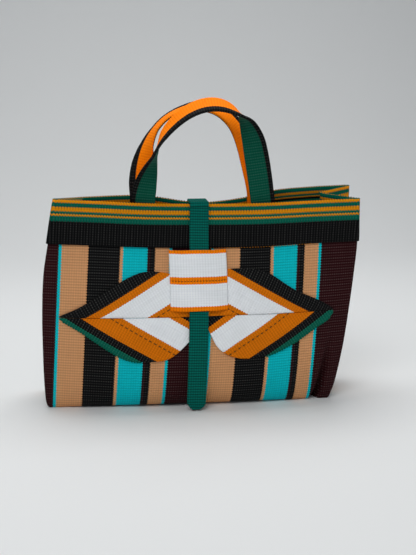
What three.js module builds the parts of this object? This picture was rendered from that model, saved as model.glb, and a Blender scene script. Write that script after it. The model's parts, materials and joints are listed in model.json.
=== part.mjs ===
// Handwoven tote bag with a rim band, two strap handles, a closing strap and a folded ribbon bow.
// Millimetres, +Z up, -Y is the front. The origin is under the middle of the bag, where it stands.
import * as THREE from 'three';

// Body
const BODY_WIDTH = 329; // across the widest points of the front panel
const BODY_HEIGHT = 215; // floor to the level of the rim at its front corners
const BASE_DEPTH = 60; // front to back at the side edges, low down
const FRONT_BELLY = 18; // how far the front hangs out past its side edges
const BACK_BELLY = 14;
const SIDE_FOLD = 38; // how deep the right side folds in at the mouth
const MOUTH_PINCH = 10; // how far the strap draws the rims together
const RIM_DIP = 8; // how far the strap draws the rims down
const CREASE_DEPTH = 12; // of the crease beside the right front edge
const CREASE_WIDTH = 7;
const CREASE_INSET = 15; // from the right front edge
const CLOTH = 1.6; // thickness of the woven wall
const EDGE_RADIUS = 2.4; // of the folded edges of the cloth
const BASE_ROLL = 30; // height over which the panels turn under, so that the strap hangs free of them
const BELLY_FULLNESS = 2.6; // a larger power keeps the bellies full nearer to the side edges
const PINCH_FROM = 0.62; // share of the height from which the rims bend towards each other

// Rim band
const BAND_HEIGHT = 44;
const BAND_THICKNESS = 1.6;
const BAND_LAP = 10; // how far the band covers the top of the body

// Handles
const HANDLE_WIDTH = 25;
const HANDLE_THICKNESS = 2.6;
const HANDLE_SPAN = 124; // between the middles of the two legs
const HANDLE_OFFSET = 3.5; // middle of the handles to the right of the middle of the bag
const HANDLE_RISE = 100; // rim to the top of the front handle
const HANDLE_TUCK = 36; // length of the legs inside the band
const HANDLE_STAND = 7.75; // how far the top of each handle leans outwards

// Closing strap
const STRAP_WIDTH = 19.4;
const STRAP_THICKNESS = 2;
const STRAP_TOP = -1; // its middle where it crosses the mouth
const STRAP_SLANT = 7.5; // how far it wanders to the left on its way down
const STRAP_BACK = 50; // length behind the back rim
const STRAP_CLEAR = 1.2; // height of its tip above the floor
const STRAP_BEND = 3; // radius of its turns over the rims
const STRAP_LEAD = 5; // length below the rim before it follows the panel
const TIP_BLUNT = 0.14; // share of its width left flat at the tip
const PINCH_ROOM = 0.5; // extra room under it where the rims bend in

// Bow
const KNOT_WIDTH = 59;
const KNOT_HEIGHT = 59.5;
const KNOT_CENTRE = -4.3;
const KNOT_TOP = 165;
const KNOT_THICKNESS = 1.6;
const KNOT_EASE = 2; // room beside the strap before the knot bends down to the arms
const BOW_REACH = 142; // from the middle of the knot to the tip of an arm
const BOW_RISE = 46; // height of the upper arms above the line of the tips
const BOW_DROP = 46;
const BOW_LEVEL = 99; // height of the tips
const RIBBON = 1.4; // thickness of the ribbon
const ARM_PUFF = 3; // how far a ribbon arm stands off the cloth

const GAP = 0.3; // left between pieces that touch
const SAME_PLACE = 0.001; // points closer than this coincide

const COLOURS = {
  cloth: 0x2a1016,
  band: 0x0d6b52,
  handle: 0xe8820c,
  strap: 0x0d6b52,
  knot: 0xe6e8ec,
  ribbon: 0xe8820c,
};

// Level sections of the body. The sides are shares of half the width, the edges are shares of the base depth
// from the middle plane, and the bellies, folds and crease are shares of their own sizes.
const SECTIONS = [
  {
    at: 0.0, left: 0.976, right: 0.827, front: 0, back: 0, crease: 1,
    fl: -0.45, fr: -0.57, bl: 0.45, br: 0.5, foldL: 0, foldR: 0,
  },
  {
    at: 0.01, left: 0.986, right: 0.836, front: 0.3, back: 0.3, crease: 1,
    fl: -0.47, fr: -0.58, bl: 0.47, br: 0.51, foldL: 0, foldR: 0,
  },
  {
    at: 0.03, left: 0.993, right: 0.845, front: 0.56, back: 0.56, crease: 1,
    fl: -0.48, fr: -0.59, bl: 0.48, br: 0.52, foldL: 0, foldR: 0,
  },
  {
    at: 0.07, left: 0.997, right: 0.863, front: 0.8, back: 0.8, crease: 0.95,
    fl: -0.49, fr: -0.6, bl: 0.49, br: 0.52, foldL: 0, foldR: 0,
  },
  {
    at: 0.14, left: 1.0, right: 0.884, front: 0.95, back: 0.95, crease: 0.75,
    fl: -0.5, fr: -0.6, bl: 0.5, br: 0.52, foldL: 0, foldR: 0,
  },
  {
    at: 0.28, left: 1.0, right: 0.92, front: 1, back: 1, crease: 0.25,
    fl: -0.52, fr: -0.58, bl: 0.52, br: 0.52, foldL: 0.04, foldR: 0.03,
  },
  {
    at: 0.46, left: 0.996, right: 0.953, front: 0.86, back: 0.9, crease: 0,
    fl: -0.5, fr: -0.55, bl: 0.48, br: 0.5, foldL: 0.18, foldR: 0.2,
  },
  {
    at: 0.65, left: 0.98, right: 0.984, front: 0.53, back: 0.6, crease: 0,
    fl: -0.45, fr: -0.5, bl: 0.38, br: 0.45, foldL: 0.42, foldR: 0.48,
  },
  {
    at: 0.79, left: 0.948, right: 1.0, front: 0.12, back: 0.25, crease: 0,
    fl: -0.42, fr: -0.48, bl: 0.25, br: 0.4, foldL: 0.6, foldR: 0.72,
  },
  {
    at: 0.91, left: 0.921, right: 1.0, front: 0, back: 0.05, crease: 0,
    fl: -0.37, fr: -0.46, bl: 0.14, br: 0.36, foldL: 0.72, foldR: 0.9,
  },
  {
    at: 1.0, left: 0.898, right: 0.999, front: 0, back: 0, crease: 0,
    fl: -0.33, fr: -0.45, bl: 0.07, br: 0.33, foldL: 0.8, foldR: 1,
  },
];

// The rim from left to right: heights are shares of the dip, shifts towards the back are shares of the pinch.
const RIM = [
  { at: 0.0, frontRise: 0.3, frontIn: 0, backRise: -0.06, backIn: 0 },
  { at: 0.12, frontRise: 0.03, frontIn: 0.15, backRise: 0.12, backIn: -0.1 },
  { at: 0.29, frontRise: -0.38, frontIn: 0.3, backRise: 0.12, backIn: -0.2 },
  { at: 0.475, frontRise: -0.69, frontIn: 0.97, backRise: -0.81, backIn: -0.9 },
  { at: 0.63, frontRise: -0.65, frontIn: 0.6, backRise: -0.5, backIn: -0.3 },
  { at: 0.73, frontRise: -0.55, frontIn: 0.4, backRise: 0.31, backIn: 0 },
  { at: 0.85, frontRise: -0.33, frontIn: 0.2, backRise: 0.69, backIn: 0.05 },
  { at: 1.0, frontRise: -0.13, frontIn: 0, backRise: 0.88, backIn: 0 },
];

// The arch of each handle from the left leg to the right leg: across is a share of the span from the middle,
// rise a share of the height of the front handle, lean a share of the stand, turn is in degrees, and tip a share of ARCH_TILT.
const FRONT_ARCH = [
  { across: -0.5, rise: 0.0, lean: 0, turn: 0, tip: 1 },
  { across: -0.485, rise: 0.14, lean: 0.1, turn: 14, tip: 1 },
  { across: -0.455, rise: 0.29, lean: 0.25, turn: 34, tip: 1 },
  { across: -0.405, rise: 0.47, lean: 0.45, turn: 64, tip: 1 },
  { across: -0.325, rise: 0.69, lean: 0.7, turn: 84, tip: 1 },
  { across: -0.2, rise: 0.86, lean: 0.9, turn: 90, tip: 1 },
  { across: -0.06, rise: 0.965, lean: 1, turn: 92, tip: 1 },
  { across: 0.08, rise: 1.0, lean: 1, turn: 95, tip: 1 },
  { across: 0.21, rise: 0.965, lean: 0.95, turn: 104, tip: 1 },
  { across: 0.33, rise: 0.86, lean: 0.8, turn: 126, tip: 1 },
  { across: 0.4, rise: 0.68, lean: 0.6, turn: 148, tip: 1 },
  { across: 0.435, rise: 0.5, lean: 0.4, turn: 164, tip: 1 },
  { across: 0.465, rise: 0.3, lean: 0.2, turn: 174, tip: 1 },
  { across: 0.485, rise: 0.14, lean: 0.1, turn: 178, tip: 1 },
  { across: 0.5, rise: 0.0, lean: 0, turn: 180, tip: 1 },
];
const BACK_ARCH = [
  { across: -0.5, rise: 0, lean: 0, turn: 0, tip: 0 },
  { across: -0.505, rise: 0.16, lean: 0.1, turn: 10, tip: 0 },
  { across: -0.488, rise: 0.34, lean: 0.25, turn: 32, tip: 0 },
  { across: -0.45, rise: 0.53, lean: 0.5, turn: 64, tip: 0 },
  { across: -0.38, rise: 0.69, lean: 0.75, turn: 82, tip: 0.05 },
  { across: -0.27, rise: 0.82, lean: 0.95, turn: 88, tip: 0.15 },
  { across: -0.11, rise: 0.905, lean: 1, turn: 91, tip: 0.4 },
  { across: 0.04, rise: 0.925, lean: 1, turn: 94, tip: 0.8 },
  { across: 0.17, rise: 0.88, lean: 0.95, turn: 102, tip: 1.1 },
  { across: 0.29, rise: 0.75, lean: 0.75, turn: 118, tip: 1.1 },
  { across: 0.375, rise: 0.56, lean: 0.5, turn: 140, tip: 1 },
  { across: 0.435, rise: 0.35, lean: 0.25, turn: 160, tip: 0.7 },
  { across: 0.48, rise: 0.15, lean: 0.1, turn: 173, tip: 0.3 },
  { across: 0.5, rise: 0, lean: 0, turn: 180, tip: 0 },
];
const PUFF_END = 0.72; // share of an arm's reach over which it stands off the cloth
const ARCH_TILT = 31; // degrees that the top of the front handle tips towards the front

// Outlines of the bow's arms from the tip to the knot: at is a share of BOW_REACH from the tip, upper a share
// of BOW_RISE above the seam between the arms, and lower a share of BOW_DROP below it.
const LEFT_ARMS = [
  { at: 0, upper: 0.03, lower: 0.04 },
  { at: 0.15, upper: 0.24, lower: 0.31 },
  { at: 0.4, upper: 0.7, lower: 0.83 },
  { at: 0.51, upper: 0.88, lower: 0.97 },
  { at: 0.6, upper: 0.975, lower: 0.99 },
  { at: 0.68, upper: 0.985, lower: 0.98 },
  { at: 0.74, upper: 0.97, lower: 0.96 },
  { at: 0.8, upper: 0.93, lower: 0.88 },
  { at: 0.85, upper: 0.9, lower: 0.76 },
  { at: 0.93, upper: 0.86, lower: 0.52 },
];
const RIGHT_ARMS = [
  { at: 0, upper: 0.03, lower: 0.07 },
  { at: 0.04, upper: 0.12, lower: 0.2 },
  { at: 0.12, upper: 0.26, lower: 0.345 },
  { at: 0.3, upper: 0.52, lower: 0.69 },
  { at: 0.5, upper: 0.92, lower: 0.95 },
  { at: 0.63, upper: 1.01, lower: 0.99 },
  { at: 0.72, upper: 1.02, lower: 0.97 },
  { at: 0.8, upper: 1, lower: 0.88 },
  { at: 0.88, upper: 0.9, lower: 0.66 },
  { at: 0.945, upper: 0.85, lower: 0.24 },
];

// Numbers of steps that the shapes are cut into
const ARC_STEPS = 4;
const SIDE_STEPS = 4;
const BACK_STEPS = 12;
const HANDLE_STEPS = 44;
const TIP_STEPS = 4;
const STRAP_DROPS = 12;
const ARM_ROWS = 5;
const ARM_COLUMNS = 14;
const KNOT_STEPS = 12;
const FRONT_SHARES = [
  0.02, 0.06, 0.12, 0.19, 0.27, 0.35, 0.43, 0.51, 0.59, 0.67, 0.75, 0.83, // the open panel
  0.89, 0.92, 0.935, 0.95, 0.965, 0.985, // the crease
];
const BODY_LEVELS = [0, 0.01, 0.03, 0.07, 0.14, 0.21, 0.28, 0.37, 0.46, 0.55, 0.65];

// A smooth curve through one column of a table whose rows are placed by their "at" value
function read(table, column, at) {
  const last = table.length - 2;
  let row = 0;
  while (row < last && at > table[row + 1].at) row += 1;
  const span = table[row + 1].at - table[row].at;
  const t = THREE.MathUtils.clamp((at - table[row].at) / span, 0, 1);
  const slope = (k) => {
    const a = table[Math.max(k - 1, 0)];
    const b = table[Math.min(k + 1, table.length - 1)];
    return (b[column] - a[column]) / (b.at - a.at);
  };
  const start = table[row][column];
  const end = table[row + 1][column];
  const h = t * t * (3 - 2 * t);
  const bend = slope(row) * (t * t * t - 2 * t * t + t) + slope(row + 1) * (t * t * t - t * t);
  return start + (end - start) * h + bend * span;
}

// The corners of the level section at a share of the height
function sectionAt(share) {
  const value = (column) => read(SECTIONS, column, share);
  const left = (-value('left') * BODY_WIDTH) / 2;
  const right = (value('right') * BODY_WIDTH) / 2;
  const y = (column) => value(column) * BASE_DEPTH;
  return { left, right, fl: y('fl'), fr: y('fr'), bl: y('bl'), br: y('br') };
}

const hang = (s) => 1 - Math.abs(2 * s - 1) ** BELLY_FULLNESS;
const nearRim = (share) => THREE.MathUtils.smoothstep(share, PINCH_FROM, 1);

// How far a point of the front or back panel stands from the straight line between the panel's side edges
function frontShift(s, share) {
  const width = (read(SECTIONS, 'left', share) + read(SECTIONS, 'right', share)) * (BODY_WIDTH / 2);
  const fromCrease = (width * (1 - s) - CREASE_INSET) / (CREASE_WIDTH / 2);
  const crease = CREASE_DEPTH * read(SECTIONS, 'crease', share) * Math.exp(-fromCrease * fromCrease);
  const belly = FRONT_BELLY * read(SECTIONS, 'front', share) * hang(s);
  return crease - belly + MOUTH_PINCH * read(RIM, 'frontIn', s) * nearRim(share);
}

function backShift(s, share) {
  const belly = BACK_BELLY * read(SECTIONS, 'back', share) * hang(s);
  return belly + MOUTH_PINCH * read(RIM, 'backIn', s) * nearRim(share);
}

const frontRim = (s) => BODY_HEIGHT + RIM_DIP * read(RIM, 'frontRise', s);
const backRim = (s) => BODY_HEIGHT + RIM_DIP * read(RIM, 'backRise', s);

// Outer face of the front panel (side -1) or the back panel (side 1) at a point across and up
function panelY(side, x, z) {
  const rimOf = side < 0 ? frontRim : backRim;
  const rough = sectionAt(z / BODY_HEIGHT);
  const share = z / rimOf((x - rough.left) / (rough.right - rough.left));
  const c = sectionAt(share);
  const flat = c.right - c.left - 2 * EDGE_RADIUS;
  const s = THREE.MathUtils.clamp((x - c.left - EDGE_RADIUS) / flat, 0, 1);
  if (side < 0) return THREE.MathUtils.lerp(c.fl, c.fr, s) + frontShift(s, share);
  return THREE.MathUtils.lerp(c.bl, c.br, s) + backShift(s, share);
}

// Where a sheet lies that stands a distance off the front or back panel, measured square to the cloth
function standY(side, x, z, distance) {
  const y = panelY(side, x, z);
  const step = 1;
  const up = (panelY(side, x, z + step) - y) / step;
  const along = (panelY(side, x + step, z) - y) / step;
  return y + side * distance * Math.hypot(1, up, along);
}

// The round edges of a section in the order of a walk round it. Those of the side folds turn the other way.
function edgesAt(share) {
  const c = sectionAt(share);
  const r = EDGE_RADIUS;
  const foldL = read(SECTIONS, 'foldL', share) * SIDE_FOLD;
  const foldR = read(SECTIONS, 'foldR', share) * SIDE_FOLD;
  return [
    { x: c.left + r, y: c.fl + r, r },
    { x: c.right - r, y: c.fr + r, r },
    { x: c.right + r - foldR, y: (c.fr + c.br) / 2, r: -r },
    { x: c.right - r, y: c.br - r, r },
    { x: c.left + r, y: c.bl - r, r },
    { x: c.left - r + foldL, y: (c.fl + c.bl) / 2, r: -r },
  ];
}

// Direction of the straight stretch that touches two round edges
function headingBetween(a, b) {
  const dx = b.x - a.x;
  const dy = b.y - a.y;
  return Math.atan2(dy, dx) - Math.asin((b.r - a.r) / Math.hypot(dx, dy));
}

const onEdge = (edge, heading) =>
  new THREE.Vector2(edge.x + edge.r * Math.sin(heading), edge.y - edge.r * Math.cos(heading));

const evenShares = (steps) => Array.from({ length: steps - 1 }, (_, k) => (k + 1) / steps);

// The stretches that follow each round edge: where their points lie and which rim height they reach
const STRETCHES = [
  { shares: FRONT_SHARES, rim: frontRim, shift: frontShift },
  { shares: evenShares(SIDE_STEPS), rim: (s) => THREE.MathUtils.lerp(frontRim(1), backRim(1), s / 2) },
  { shares: evenShares(SIDE_STEPS), rim: (s) => THREE.MathUtils.lerp(frontRim(1), backRim(1), (1 + s) / 2) },
  {
    shares: evenShares(BACK_STEPS),
    rim: (s) => backRim(1 - s),
    shift: (s, share) => backShift(1 - s, share),
  },
  { shares: evenShares(SIDE_STEPS), rim: (s) => THREE.MathUtils.lerp(backRim(0), frontRim(0), s / 2) },
  { shares: evenShares(SIDE_STEPS), rim: (s) => THREE.MathUtils.lerp(backRim(0), frontRim(0), (1 + s) / 2) },
];

// Every column of the body's surface, in the order of the walk
const COLUMNS = STRETCHES.flatMap((stretch, edge) => [
  ...Array.from({ length: ARC_STEPS + 1 }, (_, k) => ({ edge, arc: k / ARC_STEPS, rim: stretch.rim(0) })),
  ...stretch.shares.map((s) => ({ edge, s, rim: stretch.rim(s) })),
]);

const middleOf = (edge) => COLUMNS.findIndex((column) => column.edge === edge && column.arc === 0.5);
const MIDDLE_RIGHT = middleOf(2);
const MIDDLE_LEFT = middleOf(5);

// One point of the body's outer face, in a column at a height
function skinPoint(column, z) {
  const share = z / column.rim;
  const edges = edgesAt(share);
  const count = edges.length;
  const edge = edges[column.edge];
  const next = edges[(column.edge + 1) % count];
  const out = headingBetween(edge, next);
  if (column.arc !== undefined) {
    const into = headingBetween(edges[(column.edge + count - 1) % count], edge);
    const usual = (Math.sign(edge.r) * Math.PI) / 2;
    const turn = out - into - 2 * Math.PI * Math.round((out - into - usual) / (2 * Math.PI));
    const p = onEdge(edge, into + turn * column.arc);
    return new THREE.Vector3(p.x, p.y, z);
  }
  const p = onEdge(edge, out).lerp(onEdge(next, out), column.s);
  const shift = STRETCHES[column.edge].shift;
  if (shift) p.y += shift(column.s, share);
  return new THREE.Vector3(p.x, p.y, z);
}

const skinRing = (heightOf) => COLUMNS.map((column) => skinPoint(column, heightOf(column.rim)));

// The nearest point of a ring, going one way, that lies apart from point k. Where a side fold ends, the
// points of its round edge coincide.
function neighbour(ring, k, step) {
  const count = ring.length;
  let n = (k + step + count) % count;
  while (ring[n].distanceTo(ring[k]) < SAME_PLACE) n = (n + step + count) % count;
  return ring[n];
}

// Average direction of the two steps that meet at a point
function tangent(before, point, after) {
  const a = point.clone().sub(before).normalize();
  const b = after.clone().sub(point).normalize();
  return a.add(b).normalize();
}

// Outward directions of a stack of rings, where the walk round and the walk up give each face its front
function outwards(rings) {
  return rings.map((ring, level) =>
    ring.map((point, k) => {
      const along = tangent(neighbour(ring, k, -1), point, neighbour(ring, k, 1));
      const below = rings[Math.max(level - 1, 0)][k];
      const above = rings[Math.min(level + 1, rings.length - 1)][k];
      const up = above.clone().sub(below).normalize();
      return along.cross(up).normalize();
    }),
  );
}

const moved = (rings, normals, distance) =>
  rings.map((ring, level) =>
    ring.map((point, k) => point.clone().addScaledVector(normals[level][k], distance)),
  );

// A closed mesh is collected as points and triangles
class Shell {
  constructor() {
    this.points = [];
    this.faces = [];
  }

  ring(points) {
    const start = this.points.length;
    this.points.push(...points);
    return points.map((_, k) => start + k);
  }

  // Joins two closed rings whose walk and step towards the second ring give an outward face. Downward steps
  // cut their squares along the other diagonal, so that a layer's two faces bend alike.
  wrap(a, b, down = false) {
    a.forEach((_, k) => {
      const n = (k + 1) % a.length;
      if (down) this.faces.push(a[k], a[n], b[k], a[n], b[n], b[k]);
      else this.faces.push(a[k], a[n], b[n], a[k], b[n], b[k]);
    });
  }

  // Fills a ring between its front and back halves, from left to right
  cap(ring, facesDown) {
    const front = [...ring.slice(MIDDLE_LEFT), ...ring.slice(0, MIDDLE_RIGHT + 1)];
    const back = ring.slice(MIDDLE_RIGHT, MIDDLE_LEFT + 1).reverse();
    let i = 0;
    let j = 0;
    while (i < front.length - 1 || j < back.length - 1) {
      const a = front[i];
      const c = back[j];
      const frontFirst = this.points[front[i + 1]]?.x <= this.points[back[j + 1]]?.x;
      const stepFront = j === back.length - 1 || (i < front.length - 1 && frontFirst);
      const b = stepFront ? front[i + 1] : back[j + 1];
      if (a !== c && a !== b && b !== c) this.faces.push(...(facesDown ? [a, c, b] : [a, b, c]));
      if (stepFront) i += 1;
      else j += 1;
    }
  }

  geometry() {
    const geometry = new THREE.BufferGeometry().setFromPoints(this.points);
    geometry.setIndex(this.faces);
    geometry.computeVertexNormals();
    return geometry;
  }
}

// The outer face of the whole bag from the floor to the rim, which the body and the band share. Each row is a
// ring with its outward directions, and the band starts at BAND_ROW.
function bagSkin() {
  const walls = BODY_LEVELS.map((share) => skinRing((rim) => share * rim));
  const clear = BAND_HEIGHT - BAND_LAP;
  const downs = [BAND_HEIGHT, clear, (clear * 2) / 3, clear / 3, 0];
  const rings = [...walls, ...downs.map((down) => skinRing((rim) => rim - down))];
  return { rings, normals: outwards(rings) };
}

const SKIN = bagSkin();
const BAND_ROW = BODY_LEVELS.length;

const skinLayer = (from, to, distance) =>
  moved(SKIN.rings.slice(from, to), SKIN.normals.slice(from, to), distance);

function bodyGeometry() {
  const shell = new Shell();
  const outside = skinLayer(0, BAND_ROW + 2, 0).map((ring) => shell.ring(ring));
  const inner = skinLayer(0, BAND_ROW + 2, -CLOTH);
  inner[0].forEach((point) => point.setZ(CLOTH));
  const inside = inner.map((ring) => shell.ring(ring));
  for (let k = 1; k < outside.length; k += 1) {
    shell.wrap(outside[k - 1], outside[k]);
    shell.wrap(inside[k], inside[k - 1], true);
  }
  shell.wrap(outside[outside.length - 1], inside[inside.length - 1]);
  shell.cap(outside[0], true);
  shell.cap(inside[0], false);
  return shell.geometry();
}

function bandGeometry() {
  const outer = skinLayer(BAND_ROW, undefined, GAP + BAND_THICKNESS);
  const inner = skinLayer(BAND_ROW, undefined, GAP);
  const shell = new Shell();
  const loop = [...outer, ...inner.reverse()].map((ring) => shell.ring(ring));
  loop.forEach((ring, k) => shell.wrap(ring, loop[(k + 1) % loop.length], k >= outer.length));
  return shell.geometry();
}

// A strap is a row of flat frames, each with a middle, a direction across and a direction through the strap
function strapGeometry(frames, width, thickness) {
  const shell = new Shell();
  const rings = frames.map(({ middle, across, through, taper = 1 }) =>
    shell.ring(
      [
        [-1, -1],
        [0, -1],
        [1, -1],
        [1, 1],
        [0, 1],
        [-1, 1],
      ].map(([w, t]) =>
        middle
          .clone()
          .addScaledVector(across, (w * width * taper) / 2)
          .addScaledVector(through, (t * thickness) / 2),
      ),
    ),
  );
  const last = rings.length - 1;
  for (let k = 1; k <= last; k += 1) shell.wrap(rings[k - 1], rings[k]);
  [
    [rings[0], true],
    [rings[last], false],
  ].forEach(([[a, b, c, d, e, f], reversed]) => {
    const faces = [a, b, e, a, e, f, b, c, d, b, d, e];
    shell.faces.push(...(reversed ? faces.reverse() : faces));
  });
  return shell.geometry();
}

// side -1 is the handle inside the front rim, 1 the one inside the back rim
function handleGeometry(side, arch) {
  const rimOf = side < 0 ? frontRim : backRim;
  const c = sectionAt(1);
  const legs = [-1, 1].map((end) => {
    const x = HANDLE_OFFSET + (end * HANDLE_SPAN) / 2;
    const half = HANDLE_WIDTH / 2;
    const rim = rimOf((x - c.left) / (c.right - c.left));
    const clear = CLOTH + GAP + HANDLE_THICKNESS / 2;
    const places = [HANDLE_TUCK, HANDLE_TUCK / 2, 0].map((down) => {
      const z = rim - down;
      const faces = [-half, 0, half].map((dx) => standY(side, x + dx, z, -clear));
      return new THREE.Vector3(x, side < 0 ? Math.max(...faces) : Math.min(...faces), z);
    });
    return end < 0 ? places : places.reverse();
  });
  const [leftRim, rightRim] = [legs[0][2], legs[1][0]];
  const middle = arch.slice(1, -1).map((row) => {
    const t = row.across + 0.5;
    const x = HANDLE_OFFSET + row.across * HANDLE_SPAN;
    const foot = leftRim.clone().lerp(rightRim, t);
    return new THREE.Vector3(x, foot.y + side * row.lean * HANDLE_STAND, foot.z + row.rise * HANDLE_RISE);
  });
  const route = [...legs[0], ...middle, ...legs[1]];
  const turns = [0, 0, ...arch.map((row) => row.turn), 180, 180];
  const tips = [0, 0, ...arch.map((row) => row.tip), 0, 0];
  const curve = new THREE.CatmullRomCurve3(route, false, 'centripetal');
  const frames = Array.from({ length: HANDLE_STEPS + 1 }, (_, k) => {
    const t = k / HANDLE_STEPS;
    const place = t * (turns.length - 1);
    const low = Math.min(Math.floor(place), turns.length - 2);
    const turn = THREE.MathUtils.degToRad(THREE.MathUtils.lerp(turns[low], turns[low + 1], place - low));
    const tip = THREE.MathUtils.degToRad(THREE.MathUtils.lerp(tips[low], tips[low + 1], place - low) * ARCH_TILT);
    const tilt = side * Math.sin(turn) * Math.sin(tip);
    const along = curve.getTangent(t);
    const across = new THREE.Vector3(-Math.cos(turn), side * Math.sin(turn), tilt);
    across.addScaledVector(along, -across.dot(along)).normalize();
    return { middle: curve.getPoint(t), across, through: along.clone().cross(across) };
  });
  return strapGeometry(frames, HANDLE_WIDTH, HANDLE_THICKNESS);
}

// Room that the strap keeps from the panels, over the rim band and the arms of the bow
const STRAP_SEAT = GAP + Math.max(BAND_THICKNESS, RIBBON) + GAP + PINCH_ROOM;

function closureGeometry() {
  const half = STRAP_WIDTH / 2;
  const seat = STRAP_SEAT + STRAP_THICKNESS / 2;
  const faceY = (side, x, z) => {
    const faces = [-half, 0, half].map((dx) => standY(side, x + dx, z, seat));
    return side < 0 ? Math.min(...faces) : Math.max(...faces);
  };
  const c = sectionAt(1);
  const s = (STRAP_TOP - c.left) / (c.right - c.left);
  const reach = half / (c.right - c.left);
  const highest = (rimOf) => Math.max(rimOf(s - reach), rimOf(s), rimOf(s + reach));
  const rims = { '-1': highest(frontRim), 1: highest(backRim) };
  // A quarter turn over the rim, from the panel's face to the level stretch
  const inset = (STRAP_BEND - GAP - STRAP_THICKNESS / 2) / Math.SQRT2;
  const overRim = (side) =>
    [0, 30, 60, 90].map((degrees) => {
      const turn = THREE.MathUtils.degToRad(degrees);
      const y = faceY(side, STRAP_TOP, rims[side]) - side * (STRAP_BEND - inset - Math.min(inset, GAP));
      const out = STRAP_BEND * Math.cos(turn);
      return new THREE.Vector3(STRAP_TOP, y + side * out, rims[side] - inset + STRAP_BEND * Math.sin(turn));
    });
  const route = [STRAP_BACK, (STRAP_BACK * 2) / 3, STRAP_BACK / 3, half].map((down) => {
    const z = rims[1] - down;
    return new THREE.Vector3(STRAP_TOP, faceY(1, STRAP_TOP, z), z);
  });
  route.push(...overRim(1), ...overRim(-1).reverse());
  const start = rims[-1] - STRAP_LEAD;
  const drop = start - half - STRAP_CLEAR;
  let furthest = 0;
  for (let k = 0; k <= STRAP_DROPS; k += 1) {
    const z = start - (drop * k) / STRAP_DROPS;
    const x = STRAP_TOP - (STRAP_SLANT * k) / STRAP_DROPS;
    furthest = Math.min(furthest, faceY(-1, x, Math.max(z, BASE_ROLL)));
    route.push(new THREE.Vector3(x, furthest, z));
  }
  const curve = new THREE.CatmullRomCurve3(route, false, 'centripetal');
  const across = new THREE.Vector3(-1, 0, 0);
  const frame = (middle, along, taper) => {
    const sideways = across.clone().addScaledVector(along, -across.dot(along)).normalize();
    return { middle, across: sideways, through: along.clone().cross(sideways), taper };
  };
  const steps = (route.length - 1) * 2;
  const frames = [];
  for (let k = 0; k <= steps; k += 1) {
    const t = k / steps;
    frames.push(frame(curve.getPoint(t), curve.getTangent(t), 1));
  }
  const down = curve.getTangent(1);
  for (let k = 1; k <= TIP_STEPS; k += 1) {
    const turn = (Math.PI / 2) * (k / TIP_STEPS);
    const middle = curve.getPoint(1).addScaledVector(down, half * Math.sin(turn));
    frames.push(frame(middle, down, Math.max(Math.cos(turn), TIP_BLUNT)));
  }
  return strapGeometry(frames, STRAP_WIDTH, STRAP_THICKNESS);
}

// A sheet on the front panel, given by rows of places that each stand a distance off the cloth
function sheetGeometry(rows, thickness) {
  const shell = new Shell();
  const place = ({ x, z, off }, extra) => new THREE.Vector3(x, standY(-1, x, z, off + extra), z);
  const front = rows.map((row) => shell.ring(row.map((p) => place(p, thickness))));
  const back = rows.map((row) => shell.ring(row.map((p) => place(p, 0))));
  for (let j = 1; j < rows.length; j += 1) {
    for (let i = 1; i < rows[0].length; i += 1) {
      const [a, b, c, d] = [front[j - 1][i - 1], front[j - 1][i], front[j][i], front[j][i - 1]];
      shell.faces.push(a, b, c, a, c, d);
      const [e, f, g, h] = [back[j - 1][i - 1], back[j - 1][i], back[j][i], back[j][i - 1]];
      shell.faces.push(e, g, f, e, h, g);
    }
  }
  const border = (grid) => [
    ...grid[0],
    ...grid.slice(1).map((row) => row[row.length - 1]),
    ...grid[grid.length - 1].slice(0, -1).reverse(),
    ...grid.slice(1, -1).map((row) => row[0]).reverse(),
  ];
  shell.wrap(border(back), border(front));
  return shell.geometry();
}

// side -1 is the left arm, 1 the right one; up is 1 for the upper arm and -1 for the lower one
function armGeometry(side, up, table) {
  const size = up > 0 ? BOW_RISE : BOW_DROP;
  const column = up > 0 ? 'upper' : 'lower';
  const end = table[table.length - 1].at;
  const rows = [];
  for (let j = 0; j < ARM_ROWS; j += 1) {
    const b = j / (ARM_ROWS - 1);
    const row = Array.from({ length: ARM_COLUMNS }, (_, k) => {
      const reach = (end * k) / (ARM_COLUMNS - 1);
      const x = KNOT_CENTRE + side * BOW_REACH * (1 - reach);
      const z = BOW_LEVEL + up * (GAP / 2 + b * read(table, column, reach) * size);
      const puff = Math.sin(Math.PI * b) * Math.sin(Math.PI * Math.min(reach / PUFF_END, 1));
      return { x, z, off: GAP + ARM_PUFF * puff };
    });
    rows.push(side < 0 ? row : row.reverse());
  }
  if (up < 0) rows.reverse();
  return sheetGeometry(rows, RIBBON);
}

function knotGeometry() {
  const low = GAP + RIBBON + GAP;
  const high = STRAP_SEAT + STRAP_THICKNESS + GAP * 2;
  const flat = STRAP_WIDTH / 2 + STRAP_SLANT / 2 + KNOT_EASE;
  const rows = [];
  for (let j = 0; j <= KNOT_STEPS; j += 1) {
    const z = KNOT_TOP - KNOT_HEIGHT + (KNOT_HEIGHT * j) / KNOT_STEPS;
    const row = [];
    for (let i = 0; i <= KNOT_STEPS; i += 1) {
      const dx = KNOT_WIDTH * (i / KNOT_STEPS - 0.5);
      const side = THREE.MathUtils.smoothstep(Math.abs(dx), flat, KNOT_WIDTH / 2);
      row.push({ x: KNOT_CENTRE + dx, z, off: THREE.MathUtils.lerp(high, low, side) });
    }
    rows.push(row);
  }
  return sheetGeometry(rows, KNOT_THICKNESS);
}

const bag = new THREE.Group();

function piece(name, geometry, color, roughness) {
  const mesh = new THREE.Mesh(geometry, new THREE.MeshStandardMaterial({ color, roughness, metalness: 0 }));
  mesh.name = name;
  bag.add(mesh);
}

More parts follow.
